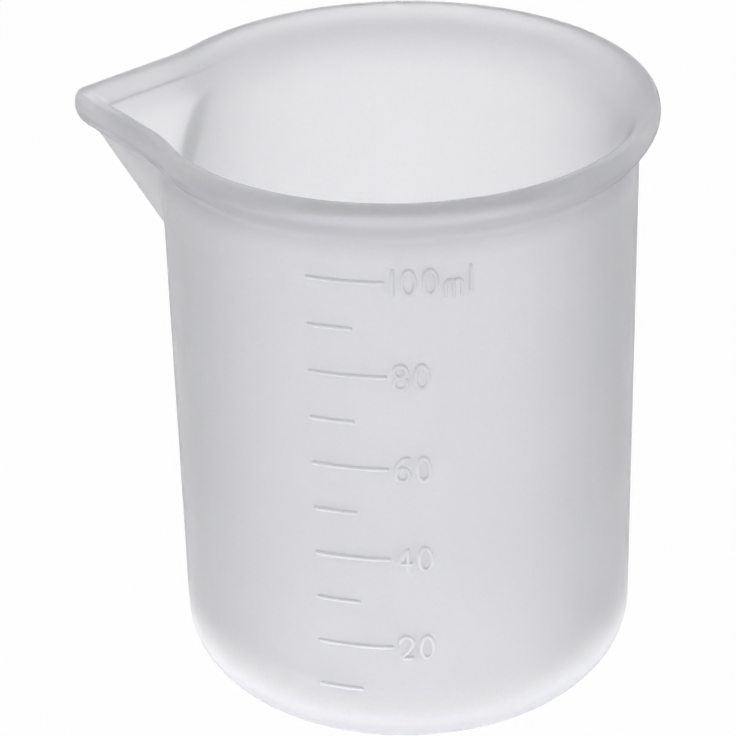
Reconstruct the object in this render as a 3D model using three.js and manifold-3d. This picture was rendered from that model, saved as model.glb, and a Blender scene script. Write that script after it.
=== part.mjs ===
// Silicone measuring cup: a round beaker with a slight draft, a rolled rim, a V-shaped pouring spout
// and a raised scale in millilitres. Millimetres, +Z up. The origin is the centre of the underside,
// the spout points along -X and the scale stands on the side that faces -Y.
import * as THREE from "three";
import { mergeVertices } from "three/addons/utils/BufferGeometryUtils.js";
import Module from "manifold-3d";

const { degToRad } = THREE.MathUtils;

// Body
const footRadius = 25.5; // outer wall carried down to the underside
const draftAngle = degToRad(0.44); // the wall opens towards the mouth by this much
const wallThickness = 1.85;
const floorThickness = 3.1;
const outerCornerRadius = 6.9; // between the underside and the outer wall
const innerCornerRadius = 5.2; // between the floor and the inner wall
const cornerLand = 1; // flat ring left between the corner and the floor disc

// Scale, in millilitres: the heights of the marks follow from the cavity
const scaleTop = 100;
const scaleStep = 10;
const labelEvery = 2; // every second mark is long and carries a numeral
const headroom = 5.7; // wall above the top mark, up to the seat of the rim

// Rim: a rolled bead on a short neck
const beadRadius = 1.5;
const rimOverhang = 2.2; // bead beyond the outer wall
const neckHeight = 0.8; // seat of the rim to the underside of the bead

// Spout
const spoutOverhang = 9.4; // tip of the lip beyond the outer wall
const spoutSpread = degToRad(22.6); // half of the rim's arc that the spout opens, seen from the axis
const spoutDepth = 12.5; // seat of the rim down to where the keel leaves the wall
const spoutThickness = 1.6;
const keelInset = 0.45; // the lip stands proud of the keel by this much
const keelRadius = 1.2; // outer rounding along the keel
const channelRadius = 0.6; // inner rounding along the keel
const seamGap = 0.3; // between pieces that are cut to fit each other

// Marks and numerals
const scaleStart = degToRad(-107); // left ends of the marks, from +X
const longMark = 8.5;
const shortMark = 5;
const markThickness = 0.5;
const relief = 0.4; // how far the scale stands out of the wall
const reliefSeat = 0.05; // clearance between the scale and the wall
const numeralHeight = 3.2;
const numeralWidth = 1.8;
const narrowWidth = 0.6; // width of the numeral 1 and the letter l
const letterWidth = 2.2; // width of the letter m
const letterHeight = 2.3; // height of the letter m
const bowlHeight = 2; // height of the loop of a 6 or 9
const numeralGap = 0.45; // between a mark and its numeral, and between characters
const strokeWidth = 0.45;
const openEnd = degToRad(150); // where the open curves of a 3 and a 5 begin, from their middle

// Fineness of the curved faces
const turnSegments = 64;
const arcSegments = 4; // half of the facets on each arc
const loopSegments = 8; // half of the facets on each round numeral
const beadSegments = 16;
const volumeStep = 0.01; // slice height when the cavity's volume is added up
const cutMargin = 5; // how far cutting shapes run past what they cut
const mergeDistance = 1e-4; // points closer than this are one point

const cubicMillimetresPerMillilitre = 1000;
const silicone = { color: 0xdcdde1, roughness: 0.55, metalness: 0 };

const outerRadius = (z) => footRadius + z * Math.tan(draftAngle);
const innerRadius = (z) => outerRadius(z) - wallThickness;

// The corner ring reaches from the underside to where both corner curves have become wall.
const cornerTop = Math.max(outerCornerRadius, floorThickness + innerCornerRadius);
const innerCornerTop = floorThickness + innerCornerRadius;
const outerCornerCentre = outerRadius(outerCornerRadius) - outerCornerRadius;
const innerCornerCentre = innerRadius(innerCornerTop) - innerCornerRadius;
const floorRadius = Math.min(outerCornerCentre, innerCornerCentre) - cornerLand;

function cavityRadius(z) {
  if (z >= innerCornerTop) return innerRadius(z);
  const below = innerCornerTop - z;
  return innerCornerCentre + Math.sqrt(innerCornerRadius ** 2 - below ** 2);
}

// Height of the liquid's surface, found by filling the cavity slice by slice.
function fillHeight(millilitres) {
  let left = millilitres * cubicMillimetresPerMillilitre;
  let z = floorThickness;
  while (left > 0) {
    left -= Math.PI * cavityRadius(z + volumeStep / 2) ** 2 * volumeStep;
    z += volumeStep;
  }
  return z;
}

const labelStep = labelEvery * scaleStep;
const topLabel = Math.floor(scaleTop / labelStep) * labelStep; // the one that also carries the unit
const rimSeat = fillHeight(scaleTop) + headroom;
const rimDepth = neckHeight + 2 * beadRadius;
const cupHeight = rimSeat + rimDepth;
const beadHeight = cupHeight - beadRadius;
const mouthOuter = outerRadius(rimSeat);
const mouthInner = innerRadius(rimSeat);
const beadCentre = mouthOuter + rimOverhang - beadRadius;

const wasm = await Module();
wasm.setup();

function toSolid(geometry) {
  const bare = new THREE.BufferGeometry();
  bare.setAttribute("position", geometry.getAttribute("position"));
  if (geometry.index) bare.setIndex(geometry.index);
  const merged = mergeVertices(bare, mergeDistance);
  const mesh = new wasm.Mesh({
    numProp: 3,
    vertProperties: new Float32Array(merged.getAttribute("position").array),
    triVerts: new Uint32Array(merged.index.array),
  });
  return new wasm.Manifold(mesh);
}

function toGeometry(solid) {
  const mesh = solid.getMesh();
  const geometry = new THREE.BufferGeometry();
  geometry.setAttribute("position", new THREE.BufferAttribute(mesh.vertProperties, 3));
  geometry.setIndex(new THREE.BufferAttribute(mesh.triVerts, 1));
  geometry.computeVertexNormals();
  return geometry;
}

const cup = new THREE.Group();

function addPiece(name, geometry) {
  const piece = new THREE.Mesh(geometry, new THREE.MeshStandardMaterial(silicone));
  piece.name = name;
  cup.add(piece);
}

// A closed outline of radius against height, turned about the cup's axis.
function turned(outline) {
  const points = outline.getPoints(arcSegments);
  return new THREE.LatheGeometry(points, turnSegments).rotateX(Math.PI / 2);
}

// Floor: a plain disc.
function floorDisc() {
  const outline = new THREE.Path();
  outline.moveTo(0, 0);
  outline.lineTo(floorRadius, 0);
  outline.lineTo(floorRadius, floorThickness);
  outline.lineTo(0, floorThickness);
  return turned(outline);
}

// Corner: a ring that is round outside and inside, between the floor and the wall.
function cornerRing() {
  const quarter = Math.PI / 2;
  const outline = new THREE.Path();
  outline.moveTo(floorRadius, 0);
  outline.lineTo(outerCornerCentre, 0);
  outline.absarc(outerCornerCentre, outerCornerRadius, outerCornerRadius, -quarter, 0, false);
  outline.lineTo(outerRadius(cornerTop), cornerTop);
  outline.lineTo(innerRadius(cornerTop), cornerTop);
  outline.absarc(innerCornerCentre, innerCornerTop, innerCornerRadius, 0, -quarter, true);
  outline.lineTo(floorRadius, floorThickness);
  outline.lineTo(floorRadius, 0);
  return turned(outline);
}

// Wall: a tapered tube from the corner to the seat of the rim.
function wallTube() {
  const outline = new THREE.Path();
  outline.moveTo(innerRadius(cornerTop), cornerTop);
  outline.lineTo(outerRadius(cornerTop), cornerTop);
  outline.lineTo(mouthOuter, rimSeat);
  outline.lineTo(mouthInner, rimSeat);
  outline.lineTo(innerRadius(cornerTop), cornerTop);
  return turned(outline);
}

// Rim: a neck as thick as the wall, hollowed under the bead, round over the crest and flared inside.
function rimRing() {
  const beadUnderside = rimSeat + neckHeight;
  const outline = new THREE.Path();
  outline.moveTo(mouthInner, rimSeat);
  outline.lineTo(mouthOuter, rimSeat);
  outline.quadraticCurveTo(mouthOuter, beadUnderside, beadCentre, beadUnderside);
  outline.absarc(beadCentre, beadHeight, beadRadius, -Math.PI / 2, Math.PI / 2, false);
  outline.absellipse(beadCentre, rimSeat, beadCentre - mouthInner, rimDepth, Math.PI / 2, Math.PI);
  return turned(outline);
}

// The spout is worked out with +X along it and then turned to its side of the cup.
const spoutTurn = Math.PI;
const lipTip = mouthOuter + spoutOverhang - beadRadius;
const meetX = beadCentre * Math.cos(spoutSpread);
const meetY = beadCentre * Math.sin(spoutSpread);
const halfAngle = Math.atan2(meetY, lipTip - meetX); // between the spout's middle and each side
const keelFoot = rimSeat - spoutDepth;
const keelTop = mouthOuter + spoutOverhang - keelInset;
const keelLean = (keelTop - outerRadius(keelFoot)) / (beadHeight - keelFoot);
const panelOffset = spoutThickness * Math.hypot(1, keelLean * Math.sin(halfAngle));

// A V seen from above, rounded at its point, that leans outwards along the keel from low to high.
// Its sides lie at the given distance from the cup's axis at the height of the bead, and end where
// they come nearest to it.
function leaningWedge(sideDistance, pointRadius, low, high) {
  const normal = Math.PI / 2 - halfAngle;
  const centre = (sideDistance - pointRadius) / Math.sin(halfAngle);
  const back = sideDistance * Math.cos(normal);
  const backSide = sideDistance * Math.sin(normal);
  const outline = new THREE.Shape();
  outline.absarc(centre, 0, pointRadius, -normal, normal, false);
  outline.lineTo(back, backSide);
  outline.lineTo(back, -backSide);
  const wedge = new THREE.ExtrudeGeometry(outline, {
    depth: high - low,
    bevelEnabled: false,
    curveSegments: arcSegments,
  });
  wedge.applyMatrix4(new THREE.Matrix4().makeShear(0, 0, 0, 0, keelLean, 0));
  wedge.translate(keelLean * (low - beadHeight), 0, low);
  return toSolid(wedge.rotateZ(spoutTurn));
}

// An upright V from a point on the spout's middle line, along the planes where lip and rim are mitred.
function mitreWedge(inset) {
  const mitreAngle = (Math.PI / 2 - halfAngle + spoutSpread) / 2;
  const point = meetX - meetY / Math.tan(mitreAngle) + inset / Math.sin(mitreAngle);
  const reach = lipTip + cutMargin;
  const reachY = (reach - point) * Math.tan(mitreAngle);
  const outline = new THREE.Shape();
  outline.moveTo(point, 0);
  outline.lineTo(reach, -reachY);
  outline.lineTo(reach, reachY);
  const wedge = new THREE.ExtrudeGeometry(outline, {
    depth: rimDepth + 2 * cutMargin,
    bevelEnabled: false,
  });
  wedge.translate(0, 0, rimSeat - cutMargin);
  return toSolid(wedge.rotateZ(spoutTurn));
}

// The full body inside the outer wall, with the seam added, which the spout is fitted to.
function bodyCore() {
  const low = keelFoot - 2 * cutMargin;
  const outline = new THREE.Path();
  outline.moveTo(0, low);
  outline.lineTo(outerRadius(low) + seamGap, low);
  outline.lineTo(outerRadius(cupHeight) + seamGap, cupHeight);
  outline.lineTo(0, cupHeight);
  return toSolid(turned(outline));
}

// A slab across the whole cup, used to part the spout at the seat of the rim.
function slab(low, high) {
  const breadth = 4 * lipTip;
  const box = new THREE.BoxGeometry(breadth, breadth, high - low);
  return toSolid(box.translate(0, 0, (low + high) / 2));
}

// One straight side of the lip's bead, from the tip towards the rim.
function lipSide(direction) {
  const length = 2 * Math.hypot(lipTip - meetX, meetY);
  const bar = new THREE.CylinderGeometry(beadRadius, beadRadius, length, beadSegments);
  bar.rotateZ(Math.PI / 2).translate(-length / 2, 0, 0);
  bar.rotateZ(-direction * halfAngle).translate(lipTip, 0, beadHeight);
  return toSolid(bar.rotateZ(spoutTurn));
}

function lipPoint() {
  const ball = new THREE.SphereGeometry(beadRadius, beadSegments, beadSegments / 2);
  return toSolid(ball.rotateX(Math.PI / 2).translate(lipTip, 0, beadHeight).rotateZ(spoutTurn));
}

const outerSide = (keelTop - keelRadius) * Math.sin(halfAngle) + keelRadius;
const wedgeLow = keelFoot - cutMargin;
const outerWedge = leaningWedge(outerSide, keelRadius, wedgeLow, beadHeight);
const channel = leaningWedge(outerSide - panelOffset, channelRadius, wedgeLow, cupHeight + cutMargin);
const spoutShell = outerWedge.subtract(channel).subtract(bodyCore());

addPiece("cup_floor", floorDisc());
addPiece("base_corner", cornerRing());
addPiece("cup_wall", toGeometry(toSolid(wallTube()).subtract(channel)));
addPiece(
  "rim_bead",
  toGeometry(toSolid(rimRing()).subtract(mitreWedge(-seamGap / 2)).subtract(channel)),
);
addPiece("pour_spout", toGeometry(spoutShell.intersect(slab(wedgeLow, rimSeat))));
addPiece(
  "spout_lip",
  toGeometry(
    spoutShell
      .intersect(slab(rimSeat, beadHeight))
      .add(lipSide(1))
      .add(lipSide(-1))
      .add(lipPoint())
      .intersect(mitreWedge(seamGap / 2)),
  ),
);

// Scale marks: bars that follow the wall.
const markName = (millilitres) => "mark_" + String(millilitres).padStart(3, "0");
const isLabelled = (millilitres) => millilitres % labelStep === 0;

function markBar(millilitres) {
  const low = fillHeight(millilitres) - markThickness / 2;
  const seat = outerRadius(low + markThickness) + reliefSeat;
  const scaleEnd = scaleStart + (isLabelled(millilitres) ? longMark : shortMark) / seat;
  const outline = new THREE.Shape();
  outline.absarc(0, 0, seat + relief, scaleStart, scaleEnd, false);
  outline.absarc(0, 0, seat, scaleEnd, scaleStart, true);
  const bar = new THREE.ExtrudeGeometry(outline, {
    depth: markThickness,
    bevelEnabled: false,
    curveSegments: arcSegments,
  });
  return bar.translate(0, 0, low);
}

for (let millilitres = scaleStep; millilitres <= scaleTop; millilitres += scaleStep) {
  addPiece(markName(millilitres), markBar(millilitres));
}

// Characters are drawn as strokes about their own middle. top and side are where the middle of a
// stroke runs on a full-size numeral, and end is what a stroke needs to reach the character's edge.
const end = strokeWidth / 2;
const top = numeralHeight / 2 - end;
const side = numeralWidth / 2 - end;
const letterSide = letterWidth / 2 - end;
const letterTop = letterHeight - numeralHeight / 2 - end;
const bowl = bowlHeight / 2 - end; // half height of the loop of a 6 or 9

function flatStroke(shape) {
  const flat = new THREE.ExtrudeGeometry(shape, {
    depth: relief,
    bevelEnabled: false,
    curveSegments: loopSegments,
  });
  return toSolid(flat);
}

// A stroke of even width along an open path.
function stroke(path) {
  const points = path.getPoints(arcSegments);
  const left = [];
  const right = [];
  points.forEach((point, i) => {
    const before = points[Math.max(i - 1, 0)];
    const after = points[Math.min(i + 1, points.length - 1)];
    const along = after.clone().sub(before).setLength(end);
    left.push(new THREE.Vector2(point.x - along.y, point.y + along.x));
    right.push(new THREE.Vector2(point.x + along.y, point.y - along.x));
  });
  return flatStroke(new THREE.Shape([...right, ...left.reverse()]));
}

function straight(x1, y1, x2, y2) {
  const path = new THREE.Path();
  path.moveTo(x1, y1);
  path.lineTo(x2, y2);
  return stroke(path);
}

const upright = () => straight(0, -top - end, 0, top + end);
const crossbar = (y) => straight(-side - end, y, side + end, y);

// Part of an ellipse about the character's middle line, clockwise between two angles.
function bow(y, halfHeight, from, to) {
  const path = new THREE.Path();
  path.absellipse(0, y, side, halfHeight, from, to, true);
  return stroke(path);
}

// A stroke of even width round an ellipse.
function loop(y, halfWidth, halfHeight) {
  const outline = new THREE.Shape();
  outline.absellipse(0, y, halfWidth + end, halfHeight + end, 0, 2 * Math.PI);
  const hole = new THREE.Path();
  hole.absellipse(0, y, halfWidth - end, halfHeight - end, 0, 2 * Math.PI, true);
  outline.holes.push(hole);
  return flatStroke(outline);
}

// An upright, an arch and a second upright, as in the small letter m.
function arch(from, to) {
  const half = (to - from) / 2;
  const path = new THREE.Path();
  path.moveTo(from, -top - end);
  path.lineTo(from, letterTop - half);
  path.absarc(from + half, letterTop - half, half, Math.PI, 0, true);
  path.lineTo(to, -top - end);
  return stroke(path);
}

function numeralTwo() {
  const path = new THREE.Path();
  path.absellipse(0, top - side, side, side, Math.PI, 0, true);
  path.quadraticCurveTo(side, 0, -side, -top);
  return stroke(path).add(crossbar(-top));
}

function numeralThree() {
  const half = top / 2;
  return bow(half, half, openEnd, -Math.PI / 2).add(bow(-half, half, Math.PI / 2, -openEnd));
}

function numeralFour() {
  const stem = side / 2;
  const bar = -top / 3;
  return straight(stem, -top - end, stem, top)
    .add(straight(stem, top, -side, bar))
    .add(straight(-side, bar, side + end, bar));
}

function numeralFive() {
  const shoulder = top / 3;
  return crossbar(top)
    .add(straight(-side, top, -side, shoulder - end))
    .add(straight(-side, shoulder, 0, shoulder))
    .add(bow((shoulder - top) / 2, (shoulder + top) / 2, Math.PI / 2, -openEnd));
}

// A loop with a hook: upright for a 6 and turned half round for a 9.
function hookedLoop(way) {
  const middle = way * (bowl - top);
  const path = new THREE.Path();
  path.moveTo(way * side, way * top);
  path.quadraticCurveTo(-way * side, way * top, -way * side, middle);
  return loop(middle, side, bowl).add(stroke(path));
}

function numeralSeven() {
  return crossbar(top).add(straight(side, top, -side / 2, -top - end));
}

function numeralEight() {
  return loop(top / 2, side, top / 2).add(loop(-top / 2, side, top / 2));
}

const characters = {
  0: { width: numeralWidth, draw: () => loop(0, side, top) },
  1: { width: narrowWidth, draw: upright },
  2: { width: numeralWidth, draw: numeralTwo },
  3: { width: numeralWidth, draw: numeralThree },
  4: { width: numeralWidth, draw: numeralFour },
  5: { width: numeralWidth, draw: numeralFive },
  6: { width: numeralWidth, draw: () => hookedLoop(1) },
  7: { width: numeralWidth, draw: numeralSeven },
  8: { width: numeralWidth, draw: numeralEight },
  9: { width: numeralWidth, draw: () => hookedLoop(-1) },
  m: { width: letterWidth, draw: () => arch(-letterSide, 0).add(arch(0, letterSide)) },
  l: { width: narrowWidth, draw: upright },
};

// Bends a flat character onto the wall: x becomes arc length, y height and z the way out of the wall.
function bentOntoWall(geometry, arc, height) {
  const place = geometry.getAttribute("position");
  for (let i = 0; i < place.count; i++) {
    const z = height + place.getY(i);
    const seat = outerRadius(z) + reliefSeat;
    const angle = scaleStart + (arc + place.getX(i)) / seat;
    const radius = seat + place.getZ(i);
    place.setXYZ(i, radius * Math.cos(angle), radius * Math.sin(angle), z);
  }
  return geometry;
}

function addLabel(millilitres) {
  const text = Math.round(millilitres) + (millilitres === topLabel ? "ml" : "");
  const height = fillHeight(millilitres);
  let arc = longMark + numeralGap;
  [...text].forEach((character, i) => {
    const { width, draw } = characters[character];
    const name = ["label", millilitres, i + 1, character].join("_");
    addPiece(name, bentOntoWall(toGeometry(draw()), arc + width / 2, height));
    arc += width + numeralGap;
  });
}

for (let millilitres = labelStep; millilitres <= scaleTop; millilitres += labelStep) {
  addLabel(millilitres);
}

export default cup;
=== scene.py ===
import math

import bpy
import numpy as np
from mathutils import Matrix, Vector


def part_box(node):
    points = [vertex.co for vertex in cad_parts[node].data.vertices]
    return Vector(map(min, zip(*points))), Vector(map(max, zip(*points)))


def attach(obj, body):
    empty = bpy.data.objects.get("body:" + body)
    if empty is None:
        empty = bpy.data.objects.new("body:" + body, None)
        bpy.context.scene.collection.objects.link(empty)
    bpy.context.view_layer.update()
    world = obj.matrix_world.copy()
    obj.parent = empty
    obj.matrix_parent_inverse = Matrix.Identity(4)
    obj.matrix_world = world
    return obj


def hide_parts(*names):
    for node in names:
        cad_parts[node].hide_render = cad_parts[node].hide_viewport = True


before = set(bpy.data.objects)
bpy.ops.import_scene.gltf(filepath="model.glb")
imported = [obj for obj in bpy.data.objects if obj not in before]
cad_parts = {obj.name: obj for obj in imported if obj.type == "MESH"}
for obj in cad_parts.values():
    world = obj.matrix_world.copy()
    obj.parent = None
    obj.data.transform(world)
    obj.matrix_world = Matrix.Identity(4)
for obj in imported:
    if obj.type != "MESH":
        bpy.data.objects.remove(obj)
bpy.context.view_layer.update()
mm = 0.001
print("frame loaded:", len(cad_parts), "solids")

# the camera stands where the picture was taken: a long lens, well above the rim
photoCamera = dict(
    azimuth=6.355, elevation=28.147, roll=-1.475,  # degrees
    distance=362.6, aim=(-4.012, -0.436, 35.695),  # mm
    focalPixels=3221.7, pictureWidth=736, sensorWidth=36,
    clipStart=0.01, clipEnd=20,  # metres
)


def placeCamera():
    # turned by azimuth, elevation and roll, then moved back from the aim along its own view
    given = photoCamera
    azimuth, elevation, roll = (math.radians(given[k]) for k in ("azimuth", "elevation", "roll"))
    data = bpy.data.cameras.new("photoCamera")
    data.sensor_width = given["sensorWidth"]
    data.lens = given["sensorWidth"] * given["focalPixels"] / given["pictureWidth"]
    data.clip_start, data.clip_end = given["clipStart"], given["clipEnd"]
    camera = bpy.data.objects.new("photoCamera", data)
    turn = Matrix.Rotation(azimuth, 4, "Z") @ Matrix.Rotation(math.pi / 2 - elevation, 4, "X")
    turn = turn @ Matrix.Rotation(roll, 4, "Z")
    back = turn.to_3x3().col[2]
    aim = Matrix.Translation([c * mm for c in given["aim"]])
    camera.matrix_world = aim @ Matrix.Translation(back * given["distance"] * mm) @ turn
    bpy.context.scene.collection.objects.link(camera)
    bpy.context.scene.camera = camera


placeCamera()
print("camera placed")


# surfaces: rows of points that close on themselves, joined row to row
def gridFaces(rows, columns, start, loop):
    # quads between neighbouring rows; the columns run round, and in a loop the rows do too
    i = np.arange(rows if loop else rows - 1)[:, None]
    j = np.arange(columns)[None, :]
    below, above = i * columns, (i + 1) % rows * columns
    after = (j + 1) % columns
    quads = np.stack(np.broadcast_arrays(below + j, below + after, above + after, above + j), -1)
    return quads.reshape(-1, 4) + start


def poleFaces(rows, columns, start, pole):
    # fans that close the first row onto one point and the last row onto another
    j = np.arange(columns)
    after = (j + 1) % columns
    last = (rows - 1) * columns
    foot = np.stack([np.full(columns, pole), start + after, start + j], -1)
    head = np.stack([start + last + j, start + last + after, np.full(columns, pole + 1)], -1)
    return np.concatenate([foot, head])


def meshFrom(name, grids):
    # each grid is (points as rows x columns x 3 in mm, whether the rows make a loop)
    points, faces, count = [], [], 0
    for grid, loop in grids:
        rows, columns = grid.shape[:2]
        points.append(grid.reshape(-1, 3))
        faces += gridFaces(rows, columns, count, loop).tolist()
        pole = count + rows * columns
        if not loop:
            points.append(np.stack([grid[0].mean(0), grid[-1].mean(0)]))
            faces += poleFaces(rows, columns, count, pole).tolist()
        count = pole if loop else pole + 2
    mesh = bpy.data.meshes.new(name)
    mesh.from_pydata((np.concatenate(points) * mm).tolist(), [], faces)
    mesh.polygons.foreach_set("use_smooth", np.ones(len(faces), bool))
    mesh.update()
    piece = bpy.data.objects.new(name, mesh)
    bpy.context.scene.collection.objects.link(piece)
    return piece


# the moulded cup: wall, corner, floor, rolled rim and spout are one skin
# sizes in mm, angles in degrees; heights and radii come from the solids
cup = dict(
    wall=1.85, outerCorner=6.9, innerCorner=5.2,
    rollWidth=0.8, rollHeight=1.4,  # half sizes of the rolled rim
    rollStart=-35, neckDrop=2.0,  # where the roll begins, and the neck's foot below the rim's seat
    flareDepth=9.0, crestDrop=0.5,  # how far down the inside opens, and the part of it that is crest
    spoutSpread=22.6, spoutDepth=12.5,  # half of the rim's arc that the spout takes, and its height
    keelInset=0.45, keelRadius=1.2, channelRadius=0.6, panel=1.1,
    lipProud=0.9, lipUnder=0.5, lipTurn=0.2,  # the lip's step over the channel, below its middle
    nose=2.4,  # radius of the lip's round end, seen from above
    spoutEdge=1.5,  # how far from its edge the spout counts in full
    rimFillet=1.0, outerFillet=0.6, innerFillet=0.7, lipFillet=1.2,  # width of the soft turns
    baseTop=7.0, baseFade=4.0,  # the base is thick up to here, and then less so
    edgeTop=2.7, edgeShade=0.75,  # painted shade on the outside of its edge, up to here, and how strong
    rollShade=((-35, 0.5), (-10, 0.15), (20, 0.0), (90, 0.0)),  # angle on the roll, share of painted shade
    neckShade=0.5, neckFade=1.8,  # painted shade on the neck under the roll, and how far below it that dies away
    neckPower=8,  # the higher it is, the closer to the roll the neck's painted shade ends
    foldShade=0.8, foldWidth=0.3,  # painted shade in the fold under the lip's step
    # rows, closer together where the section bends
    underRows=6, cornerRows=14, wallRows=12, spoutRows=56, neckRows=16, rollRows=25,
    crestRows=9, lipRows=10, stepRows=30, flareRows=36, boreRows=10, heelRows=12, floorRows=6,
    # columns: round the back, on each side of the spout, and over its keel
    backColumns=73, sideColumns=50, keelColumns=32, sideAngle=34, keelAngle=4,
    spoutRun=2.0, stepRun=0.3,  # how far the close rows go on past the spout and the step
)


def smoothMax(a, b, width):
    # the larger of two values, with the corner between them eased by a cubic over the given width
    near = np.clip(1 - np.abs(a - b) / width, 0, 1)
    return np.maximum(a, b) + width * near**3 / 6


def eased(x):
    # 0 up to 0, 1 from 1 on, and a smooth step between
    x = np.clip(x, 0, 1)
    return x**2 * (3 - 2 * x)


def roundedV(phi, side, point, halfAngle):
    # distance from the axis to a V seen from above: two sides at a given distance from the axis,
    # their meeting rounded by an arc of radius point; past the middle of each side it falls away
    normal = math.pi / 2 - halfAngle
    past = np.maximum(np.abs(phi) - normal, 0)
    side = side * (1 - past)
    phi = np.minimum(np.abs(phi), normal)
    centre = (side - point) / math.sin(halfAngle)
    touch = np.arctan2(point * math.sin(normal), centre + point * math.cos(normal))
    nose = centre * np.cos(phi) + np.sqrt(np.maximum(point**2 - (centre * np.sin(phi)) ** 2, 0))
    return np.where(phi < touch, nose, side / np.cos(normal - phi))


def arc(centreR, centreZ, radiusR, radiusZ, start, end, count):
    # part of an ellipse about a centre, from one angle to another
    angle = np.radians(np.linspace(start, end, count))
    return centreR + radiusR * np.cos(angle), centreZ + radiusZ * np.sin(angle)


def steps(*stops):
    # evenly spaced values between stops: (from, count), (to, count), ... and the last stop alone
    spans = [np.linspace(a[0], b[0], a[1], endpoint=False) for a, b in zip(stops, stops[1:])]
    return np.concatenate(spans + [np.array([stops[-1][0]])])


# heights and radii of the round body, from the solids
rimLow, rimHigh = (np.array(c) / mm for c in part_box("rim_bead"))
wallHigh = np.array(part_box("cup_wall")[1]) / mm
cornerHigh = np.array(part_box("base_corner")[1]) / mm
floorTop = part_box("cup_floor")[1].z / mm
lipTip = -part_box("spout_lip")[0].x / mm
seat, top = rimLow[2], rimHigh[2]
rollLevel = top - cup["rollHeight"]
rollCentre = rimHigh[1] - cup["rollWidth"]
draft = (wallHigh[1] - cornerHigh[1]) / (seat - cornerHigh[2])


def outerWall(z):
    # the wall's outside: a straight taper through the solids' radii at its top and its foot
    return wallHigh[1] + draft * (z - seat)


def innerWall(z):
    # its inside, one wall thickness in
    return outerWall(z) - cup["wall"]


# the spout's plan: its two sides leave the rim's circle and meet at the tip, and its keel leans out
spread = math.radians(cup["spoutSpread"])
spoutReach = lipTip - cup["rollWidth"] - rollCentre * math.cos(spread)
halfAngle = math.atan2(rollCentre * math.sin(spread), spoutReach)
lipSide = (lipTip - cup["nose"]) * math.sin(halfAngle) + cup["nose"] - cup["rollWidth"]
lipFoot = rollLevel - cup["lipUnder"] - cup["lipTurn"]
keelFoot = seat - cup["spoutDepth"]
spoutLow = keelFoot - cup["spoutRun"]
keelTop = lipTip - cup["keelInset"]
lean = (keelTop - outerWall(keelFoot)) / (rollLevel - keelFoot) * math.sin(halfAngle)
keelSide = (keelTop - cup["keelRadius"]) * math.sin(halfAngle) + cup["keelRadius"]
panel = cup["panel"] * math.hypot(1, lean)


def outerPanel(z):
    # distance of the spout's sides from the axis: they lean out with the height, and low down they
    # stay inside the round body
    return np.maximum(keelSide + lean * (z - rollLevel), cup["rollWidth"])


def innerPanel(z):
    # the sides of the channel, one panel thickness in
    return np.maximum(outerPanel(z) - panel, cup["rollWidth"])


def outsideRows():
    # from the middle of the underside up to the crest: radius and height of each row, then the spout's
    # side, point and ease there, then the shares of painted shade on the roll and on the neck
    corner = cup["outerCorner"]
    cornerCentre = outerWall(corner) - corner
    underR = np.linspace(0, cornerCentre, cup["underRows"])[1:-1]
    cornerR, cornerZ = arc(cornerCentre, corner, corner, corner, -90, 0, cup["cornerRows"])
    neckFoot = seat - cup["neckDrop"]
    wallZ = steps((corner, cup["wallRows"]), (spoutLow, cup["spoutRows"]), (neckFoot, 1))[1:-1]
    rollSpan = cup["rollStart"], 90, cup["rollRows"]
    rollR, rollZ = arc(rollCentre, rollLevel, cup["rollWidth"], cup["rollHeight"], *rollSpan)

    # the neck is a curve of the fifth degree, so that it leaves the wall and joins the roll without
    # a bend: its first three guide points carry the wall on, its last three lead into the roll
    degree = 5
    t = np.linspace(0, 1, cup["neckRows"], endpoint=False)
    rollLean = math.tan(math.radians(-cup["rollStart"])) * cup["rollWidth"] / cup["rollHeight"]
    guideZ = np.linspace(neckFoot, rollZ[0], degree + 1)
    guideR = np.concatenate([outerWall(guideZ[:3]), rollR[0] - rollLean * (rollZ[0] - guideZ[3:])])
    ways = [math.comb(degree, k) * (1 - t) ** (degree - k) * t**k for k in range(degree + 1)]
    r = np.concatenate([underR, cornerR, outerWall(wallZ), np.dot(guideR, ways), rollR])
    z = np.concatenate([underR * 0, cornerZ, wallZ, np.dot(guideZ, ways), rollZ])

    rise = r - rollCentre
    onRim = z > seat
    side = np.where(z > rollLevel, 0, outerPanel(z))
    side = np.where(onRim, smoothMax(side, lipSide + rise, cup["lipFillet"]), side)
    growth = np.clip(rise / cup["rollWidth"], 0, 1)
    point = cup["keelRadius"] + (cup["nose"] - cup["keelRadius"]) * growth
    ease = np.where(onRim, cup["rimFillet"], cup["outerFillet"])

    below = np.zeros(len(underR) + len(cornerR))
    # painted shade on the roll, most on its lower outside
    overRoll = np.interp(np.linspace(*rollSpan), *zip(*cup["rollShade"]))
    onRoll = np.concatenate([below, wallZ * 0, overRoll[0] * t, overRoll])
    # painted shade on the neck under the roll, dying away down the wall
    fade = np.clip(1 - (neckFoot - wallZ) / cup["neckFade"], 0, 1)
    overNeck = (1 + t) / 2 * (1 - t ** cup["neckPower"])
    onNeck = np.concatenate([below, fade / 2, overNeck, overRoll * 0])
    return (r, z, side, point, ease), (onRoll, cup["neckShade"] * onNeck)


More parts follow.
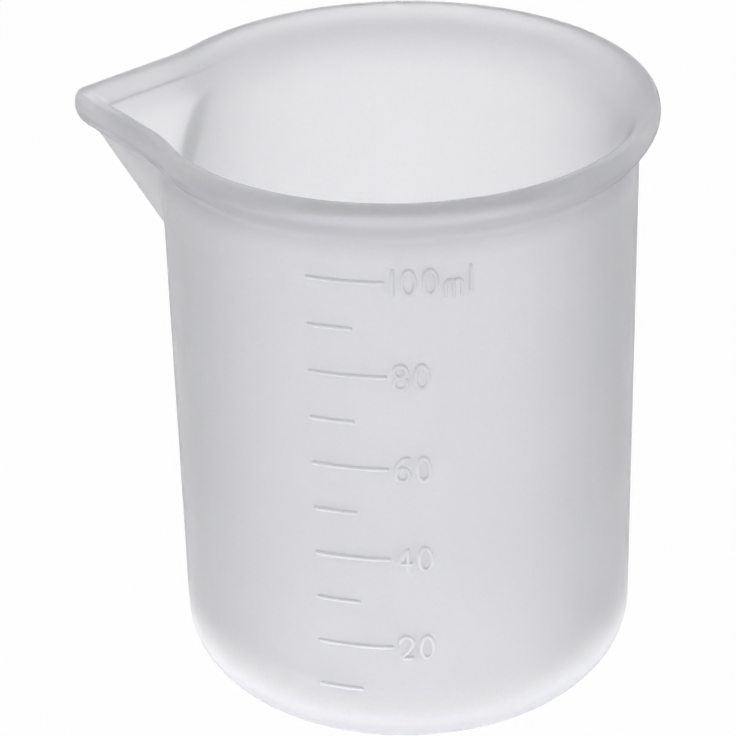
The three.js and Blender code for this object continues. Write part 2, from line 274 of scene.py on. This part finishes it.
def insideRows():
    # from the crest down the flared rim and the wall to the middle of the floor: radius and height of
    # each row, then the spout's side, point and ease there; the flare is a quarter ellipse
    flareFoot = top - cup["flareDepth"]
    crestZ = top - cup["crestDrop"] * np.linspace(0, 1, cup["crestRows"])[1:-1] ** 2
    lipStops = (crestZ[-1], cup["lipRows"]), (rollLevel, cup["stepRows"])
    flareStops = (lipFoot - cup["stepRun"], cup["flareRows"]), (flareFoot, 1)
    flareZ = np.concatenate([crestZ, steps(*lipStops, *flareStops)[1:]])
    opening = np.sqrt(1 - ((flareZ - flareFoot) / cup["flareDepth"]) ** 2)
    flareR = rollCentre - (rollCentre - innerWall(flareFoot)) * opening
    corner = cup["innerCorner"]
    heelTop = floorTop + corner
    boreZ = steps((flareFoot, cup["spoutRows"]), (spoutLow, cup["boreRows"]), (heelTop, 1))[1:-1]
    heelCentre = innerWall(heelTop) - corner
    heelR, heelZ = arc(heelCentre, heelTop, corner, corner, 0, -90, cup["heelRows"])
    floorR = np.linspace(heelCentre, 0, cup["floorRows"])[1:-1]
    r = np.concatenate([flareR, innerWall(boreZ), heelR, floorR])
    z = np.concatenate([flareZ, boreZ, heelZ, floorR * 0 + floorTop])

    # the lip's inside: a leaning quarter ellipse down to its middle, then a step back to the channel
    below = rollLevel - z
    lipInside = lipSide - lean * cup["rollHeight"] - innerPanel(rollLevel) + cup["lipProud"]
    bulge = np.sqrt(np.maximum(1 - (below / cup["rollHeight"]) ** 2, 0))
    roll = lipSide + lean * (z - top) - lipInside * bulge
    under = eased((below - cup["lipUnder"]) / cup["lipTurn"])
    side = np.where(below < 0, roll, innerPanel(z) - cup["lipProud"] * (1 - under))
    flare = np.clip((z - flareFoot) / cup["flareDepth"], 0, 1)
    point = cup["channelRadius"] + (cup["keelRadius"] - cup["channelRadius"]) * flare
    ease = cup["innerFillet"] + (cup["rimFillet"] - cup["innerFillet"]) * flare
    return r, z, side, point, ease


def cupSkin():
    # radius of the skin over (row, angle): at each row of the section the larger of the round body
    # and the leaning V of the spout, eased where they meet
    outRows, shadeRows = outsideRows()
    inRows = insideRows()
    r, z, side, point, ease = (np.concatenate(pair)[:, None] for pair in zip(outRows, inRows))
    sideAngle, keelAngle = cup["sideAngle"], cup["keelAngle"]
    back, sides, keel = cup["backColumns"], cup["sideColumns"], cup["keelColumns"]
    phi = steps((-180, back), (-sideAngle, sides), (-keelAngle, keel), (keelAngle, sides),
                (sideAngle, back), (180, 1))
    phi = np.radians(phi[:-1])[None, :]
    spout = roundedV(phi, side, point, halfAngle)
    radius = smoothMax(r, spout, ease)
    skin = np.stack(np.broadcast_arrays(-radius * np.cos(phi), -radius * np.sin(phi), z), -1)

    # thick: how far the base swallows what the wall lets through
    thick = 1 - eased((z - cup["baseTop"]) / cup["baseFade"])
    # painted shade, a grey: on the roll and its neck outside the spout, in the fold under the lip, on the
    # base's edge
    inside = np.zeros(len(inRows[0]))
    onRoll, onNeck = (np.concatenate([rows, inside])[:, None] for rows in shadeRows)
    outside = np.arange(len(r))[:, None] < len(outRows[0])
    inSpout = np.clip((spout - r) / cup["spoutEdge"], 0, 1)
    # painted shade in the crease under the lip's step
    inFold = np.where(outside, 0, np.exp(-(((z - lipFoot) / cup["foldWidth"]) ** 2)))
    # painted shade on the outside of the base's edge, by the floor
    onEdge = np.where(outside, 1 - eased((z - cup["edgeTop"]) / cup["baseFade"]), 0)
    paintedShade = onRoll + onNeck * (1 - inSpout) + cup["foldShade"] * inFold * inSpout + cup["edgeShade"] * onEdge
    return skin, paintedShade, np.broadcast_to(thick, paintedShade.shape)


def writeValues(piece, name, values):
    # one value for each point of the skin, and for its two poles
    values = np.concatenate([values.ravel(), values[[0, -1], 0]])
    piece.data.attributes.new(name, "FLOAT", "POINT").data.foreach_set("value", values)


skin, paintedShadeShare, thickShare = cupSkin()
body = meshFrom("moulded_cup", [(skin, False)])
# the painted shade on the roll, its neck, the lip's fold and the base's edge is stored on the skin's
# points
writeValues(body, "paintedShade", paintedShadeShare)
writeValues(body, "thick", thickShare)
bodyNodes = ("cup_floor", "base_corner", "cup_wall", "rim_bead", "pour_spout", "spout_lip")
print("moulded cup:", len(body.data.polygons), "faces")


# scale marks and numerals: rounded ridges, as a ball-nosed cutter leaves in the mould
scale = dict(
    longMark=8.5, shortMark=5.0, markWidth=0.5,
    numeralHeight=3.2, numeralWidth=1.8, letterWidth=2.2, letterHeight=2.3, bowlHeight=2.0,
    stroke=0.45, relief=0.25, root=0.15,  # height out of the wall and depth into it
    lineRows=8, bowRows=24, ringRows=40, curveRows=16, around=16,  # points along and round a stroke
    endAngles=(5, 30, 55, 75),  # degrees, where a round end has its rows
)


def line(*corners):
    # straight stretches between corners, with points every so often
    corners = np.array(corners, float)
    spans = [np.linspace(a, b, scale["lineRows"], endpoint=False) for a, b in zip(corners, corners[1:])]
    return np.concatenate(spans + [corners[-1:]])


def bow(y, halfWidth, halfHeight, start, end, count=scale["bowRows"], x=0.0):
    # part of an ellipse about (x, y), from one angle to another
    angle = np.radians(np.linspace(start, end, count))
    return np.stack([x + halfWidth * np.cos(angle), y + halfHeight * np.sin(angle)], -1)


def ring(y, halfWidth, halfHeight):
    # a whole ellipse, without the last point, which would repeat the first
    return bow(y, halfWidth, halfHeight, 0, 360, scale["ringRows"] + 1)[:-1]


def easedLine(start, pull, end):
    # a quadratic curve from start to end, drawn towards pull
    t = np.linspace(0, 1, scale["curveRows"])[:, None]
    start, pull, end = (np.array(p, float) for p in (start, pull, end))
    return (1 - t) ** 2 * start + 2 * t * (1 - t) * pull + t**2 * end


def strokesOf(character):
    # middle lines of a character's strokes about its own middle, with whether each is a loop
    half = scale["stroke"] / 2
    top, side = scale["numeralHeight"] / 2 - half, scale["numeralWidth"] / 2 - half
    wide, bowl = scale["letterWidth"] / 2 - half, scale["bowlHeight"] / 2 - half
    letterTop = scale["letterHeight"] - scale["numeralHeight"] / 2 - half
    arch = letterTop - wide / 2
    if character == "0":
        return [(ring(0, side, top), True)]
    if character in "1l":
        return [(line((0, -top), (0, top)), False)]
    if character == "2":
        hook = bow(top - side, side, side, 180, 0)
        slope = easedLine((side, top - side), (side, 0), (-side, -top))[1:]
        return [(np.concatenate([hook, slope, line((-side, -top), (side, -top))[1:]]), False)]
    if character == "4":
        stem, bar = side / 2, -top / 3
        return [(line((stem, -top), (stem, top), (-side, bar), (side, bar)), False)]
    if character == "6":
        hook = easedLine((side, top), (-side, top), (-side, bowl - top))
        return [(ring(bowl - top, side, bowl), True), (hook, False)]
    if character == "8":
        return [(ring(top / 2, side, top / 2), True), (ring(-top / 2, side, top / 2), True)]
    # the m: a stem, and two arches that each end in a leg
    stem = line((-wide, -top), (-wide, arch))[:-1]
    leg = line((0, arch), (0, -top))[1:]
    archAndLeg = np.concatenate([bow(arch, wide / 2, wide / 2, 180, 0, x=-wide / 2), leg])
    return [(np.concatenate([stem, archAndLeg]), False), (archAndLeg + (wide, 0), False)]


def ridge(path, loop, width):
    # a rounded section carried along a flat path: half an ellipse out of the wall and half into it,
    # drawn in to a round end where the path stops; x along the wall, y up, third value outwards
    around = np.linspace(0, 2 * math.pi, scale["around"], endpoint=False)
    along = np.roll(path, -1, 0) - np.roll(path, 1, 0) if loop else np.gradient(path, axis=0)
    along /= np.linalg.norm(along, axis=1, keepdims=True)
    size = np.ones(len(path))
    if not loop:
        angles = np.radians(scale["endAngles"])
        reach, close = width / 2 * np.cos(angles), np.sin(angles)
        head = path[:1] - along[:1] * reach[:, None]
        tail = path[-1:] + along[-1:] * reach[::-1, None]
        path = np.concatenate([head, path, tail])
        count = len(angles)
        along = np.concatenate([along[:1].repeat(count, 0), along, along[-1:].repeat(count, 0)])
        size = np.concatenate([close, size, close[::-1]])
    across = np.stack([-along[:, 1], along[:, 0]], -1)
    flat = path[:, None] + across[:, None] * (width / 2 * size[:, None] * np.cos(around))[..., None]
    height = np.where(np.sin(around) > 0, scale["relief"], scale["root"]) * np.sin(around)
    return np.concatenate([flat, (size[:, None] * height)[..., None]], -1)


def ontoWall(grid, node):
    # bends a flat ridge onto the wall about the middle of its solid: x becomes an angle
    low, high = (np.array(c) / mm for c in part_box(node))
    middle = (low + high) / 2
    mouth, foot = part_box("cup_wall")[1] / mm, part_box("base_corner")[1] / mm
    z = middle[2] + grid[..., 1]
    wall = foot.y + (mouth.y - foot.y) * (z - foot.z) / (mouth.z - foot.z)
    angle = math.atan2(middle[1], middle[0]) + grid[..., 0] / wall
    radius = wall + grid[..., 2]
    return np.stack([radius * np.cos(angle), radius * np.sin(angle), z], -1)


def scalePieces():
    # one piece for each solid of the scale; a mark that has a numeral is long
    labelled = {name.split("_")[1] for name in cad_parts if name.startswith("label_")}
    made = []
    for node in sorted(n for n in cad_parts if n.startswith(("mark_", "label_"))):
        kind, value = node.split("_")[:2]
        if kind == "mark":
            length = scale["longMark"] if str(int(value)) in labelled else scale["shortMark"]
            reach = (length - scale["markWidth"]) / 2
            grids = [(ridge(line((-reach, 0), (reach, 0)), False, scale["markWidth"]), False)]
        else:
            grids = [(ridge(p, loop, scale["stroke"]), loop) for p, loop in strokesOf(node[-1])]
        piece = meshFrom("raised_" + node, [(ontoWall(grid, node), loop) for grid, loop in grids])
        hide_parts(node)
        made.append(piece)
    return made


scaleRelief = scalePieces()
print("scale:", len(scaleRelief), "raised marks and characters")


# materials
def toLinear(code):
    # sRGB hex to linear colour: a short straight foot, then a power
    srgb = np.array([int(code[i:i + 2], 16) / 255 for i in (1, 3, 5)])
    linear = np.where(srgb <= 0.04045, srgb / 12.92, ((srgb + 0.055) / 1.055) ** 2.4)
    return (*linear, 1.0)


def addNode(tree, kind, settings=None, inputs=None, links=None):
    # one node: settings are its properties, inputs its fixed values, links (node, output) pairs
    node = tree.nodes.new(kind)
    for key, value in (settings or {}).items():
        setattr(node, key, value)
    for key, value in (inputs or {}).items():
        node.inputs[key].default_value = value
    for key, (source, output) in (links or {}).items():
        tree.links.new(source.outputs[output], node.inputs[key])
    return node


def emptyMaterial(name):
    material = bpy.data.materials.new(name)
    material.use_nodes = True
    material.node_tree.nodes.clear()
    return material, material.node_tree


# Silicone rubber, moulded in a blasted mould: milky and see-through at once. Light goes right through
# the thin wall, scattered by the frost, and thick or slanting places swallow more of it
silicone = dict(
    ior=1.41, roughness=0.6, specular=0.3,
    depth=2.0, spread=(1, 1, 1.04),  # mm that scattered light travels in it, blue a little further
    grain=0.4, grainDetail=3, frost=0.012,  # mm; blasting leaves about 0.1, drawn coarser to show
    paintedShadeColour="#b4b4ba",  # colour of the painted shade on the roll, its neck, the lip's fold and the base's edge
)
# clear is the share of the light that passes straight through, baseClear that of the thick base, and
# milk how much of the rest scatters inside
thinWall = dict(colour="#fbfbfd", grainColour="#f0f0f3", clear=0.82, baseClear=0.5, milk=1.0)
# the raised lettering is greyer than the wall: painted shade on the strokes
shadedLettering = dict(colour="#e2e2e6", grainColour="#dcdce1", clear=0.0, baseClear=0.0, milk=0.0)


def frostedSilicone(name, finish):
    # the grain tints and roughens it; the painted shade and thick are read from the skin's own points
    given = {**silicone, **finish}
    material, tree = emptyMaterial(name)
    place = addNode(tree, "ShaderNodeTexCoord")
    grain = addNode(tree, "ShaderNodeTexNoise",
                    inputs={"Scale": 1 / (given["grain"] * mm), "Detail": given["grainDetail"]},
                    links={"Vector": (place, "Object")})
    thin = addNode(tree, "ShaderNodeMix", {"data_type": "RGBA"},
                   {"A": toLinear(given["colour"]), "B": toLinear(given["grainColour"])},
                   {"Factor": (grain, "Fac")})
    # painted shade: the colour turns to grey where the skin's attribute says
    paintedShade = addNode(tree, "ShaderNodeAttribute", {"attribute_name": "paintedShade"})
    colour = addNode(tree, "ShaderNodeMix", {"data_type": "RGBA"}, {"B": toLinear(given["paintedShadeColour"])},
                     {"Factor": (paintedShade, "Fac"), "A": (thin, "Result")})
    bump = addNode(tree, "ShaderNodeBump", inputs={"Strength": 1, "Distance": given["frost"] * mm},
                   links={"Height": (grain, "Fac")})
    shader = addNode(tree, "ShaderNodeBsdfPrincipled",
                     inputs={"IOR": given["ior"], "Roughness": given["roughness"],
                             "Specular IOR Level": given["specular"],
                             "Transmission Weight": given["clear"],
                             "Subsurface Weight": given["milk"],
                             "Subsurface Radius": given["spread"],
                             "Subsurface Scale": given["depth"] * mm},
                     links={"Base Color": (colour, "Result"), "Normal": (bump, "Normal")})
    if given["baseClear"] != given["clear"]:
        thick = addNode(tree, "ShaderNodeAttribute", {"attribute_name": "thick"})
        loss = given["baseClear"] - given["clear"]
        clear = addNode(tree, "ShaderNodeMath", {"operation": "MULTIPLY_ADD"},
                        {1: loss, 2: given["clear"]}, {0: (thick, "Fac")})
        tree.links.new(clear.outputs[0], shader.inputs["Transmission Weight"])
    addNode(tree, "ShaderNodeOutputMaterial", links={"Surface": (shader, "BSDF")})
    return material


skinSilicone = frostedSilicone("frosted silicone, moulded", thinWall)
reliefSilicone = frostedSilicone("frosted silicone, raised lettering", shadedLettering)
body.data.materials.append(skinSilicone)
for piece in scaleRelief:
    piece.data.materials.append(reliefSilicone)
for piece in [body] + scaleRelief:
    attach(piece, "root")
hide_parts(*bodyNodes)
print("materials set")


# studio: a white paper floor that glows under the cup, and a white tent, brightest on the left
studio = dict(
    floorSize=3.0, paper="#f8f8f8", floorWhite=0.97,  # metres; the share of white where it is seen
    tableGlow=0.35, tableSpot=1.1, spotRadius=0.15,  # light of the floor, more of it near the cup
    tentWhite="#ffffff", tentOverhead=0.66, tentRight=0.48, tentLeft=0.85,
)


def seenDirectly(tree):
    # 1 for what the eye sees straight, in a reflection or through the silicone, 0 for other light
    ray = addNode(tree, "ShaderNodeLightPath")
    either = addNode(tree, "ShaderNodeMath", {"operation": "MAXIMUM"},
                     links={0: (ray, "Is Camera Ray"), 1: (ray, "Is Glossy Ray")})
    return addNode(tree, "ShaderNodeMath", {"operation": "MAXIMUM"},
                   links={0: (either, 0), 1: (ray, "Is Transmission Ray")})


def paperFloor():
    # where it is seen, white with a trace of the cup's shadow; as a light, paper that glows
    half = studio["floorSize"] / 2
    corners = [(-half, -half, 0), (half, -half, 0), (half, half, 0), (-half, half, 0)]
    mesh = bpy.data.meshes.new("paper_floor")
    mesh.from_pydata(corners, [], [(0, 1, 2, 3)])
    floor = bpy.data.objects.new("paper_floor", mesh)
    bpy.context.scene.collection.objects.link(floor)
    material, tree = emptyMaterial("white paper, smooth")
    direct = seenDirectly(tree)
    place = addNode(tree, "ShaderNodeTexCoord")
    size = 1 / studio["spotRadius"]
    scaled = addNode(tree, "ShaderNodeMapping", inputs={"Scale": (size, size, size)},
                     links={"Vector": (place, "Object")})
    spot = addNode(tree, "ShaderNodeTexGradient", {"gradient_type": "SPHERICAL"},
                   links={"Vector": (scaled, 0)})
    level = addNode(tree, "ShaderNodeMath", {"operation": "MULTIPLY_ADD"},
                    {1: studio["tableSpot"], 2: studio["tableGlow"]}, {0: (spot, "Fac")})
    unseen = addNode(tree, "ShaderNodeMath", {"operation": "SUBTRACT"}, {0: 1}, {1: (direct, 0)})
    strength = addNode(tree, "ShaderNodeMath", {"operation": "MULTIPLY"},
                       links={0: (level, 0), 1: (unseen, 0)})
    paper = addNode(tree, "ShaderNodeBsdfDiffuse", inputs={"Color": toLinear(studio["paper"])})
    glow = addNode(tree, "ShaderNodeEmission", links={"Strength": (strength, 0)})
    lit = addNode(tree, "ShaderNodeAddShader", links={0: (paper, 0), 1: (glow, 0)})
    white = addNode(tree, "ShaderNodeEmission", inputs={"Strength": 1})
    lift = addNode(tree, "ShaderNodeMath", {"operation": "MULTIPLY"},
                   {1: studio["floorWhite"]}, {0: (direct, 0)})
    mixed = addNode(tree, "ShaderNodeMixShader", links={0: (lift, 0), 1: (lit, 0), 2: (white, 0)})
    addNode(tree, "ShaderNodeOutputMaterial", links={"Surface": (mixed, 0)})
    mesh.materials.append(material)


def whiteTent():
    # white where it is seen straight or through the silicone; as a light, each side has its strength
    world = bpy.data.worlds.new("white tent")
    world.use_nodes = True
    tree = world.node_tree
    tree.nodes.clear()
    place = addNode(tree, "ShaderNodeTexCoord")
    way = addNode(tree, "ShaderNodeSeparateXYZ", links={0: (place, "Generated")})
    shares = []
    for axis, strength in (("Z", studio["tentOverhead"]), ("X", studio["tentRight"]),
                           ("X", -studio["tentLeft"])):
        share = addNode(tree, "ShaderNodeMath", {"operation": "MULTIPLY"}, {1: strength}, {0: (way, axis)})
        shares.append(addNode(tree, "ShaderNodeMath", {"operation": "MAXIMUM"}, {1: 0}, {0: (share, 0)}))
    overhead, right, left = shares
    sides = addNode(tree, "ShaderNodeMath", {"operation": "ADD"}, links={0: (right, 0), 1: (left, 0)})
    level = addNode(tree, "ShaderNodeMath", {"operation": "ADD"}, links={0: (overhead, 0), 1: (sides, 0)})
    white = toLinear(studio["tentWhite"])
    soft = addNode(tree, "ShaderNodeBackground", inputs={"Color": white}, links={"Strength": (level, 0)})
    seen = addNode(tree, "ShaderNodeBackground", inputs={"Color": white, "Strength": 1})
    mixed = addNode(tree, "ShaderNodeMixShader",
                    links={0: (seenDirectly(tree), 0), 1: (soft, 0), 2: (seen, 0)})
    addNode(tree, "ShaderNodeOutputWorld", links={"Surface": (mixed, 0)})
    bpy.context.scene.world = world


paperFloor()
whiteTent()
bpy.context.scene.view_settings.view_transform = "Standard"
print("studio lit")
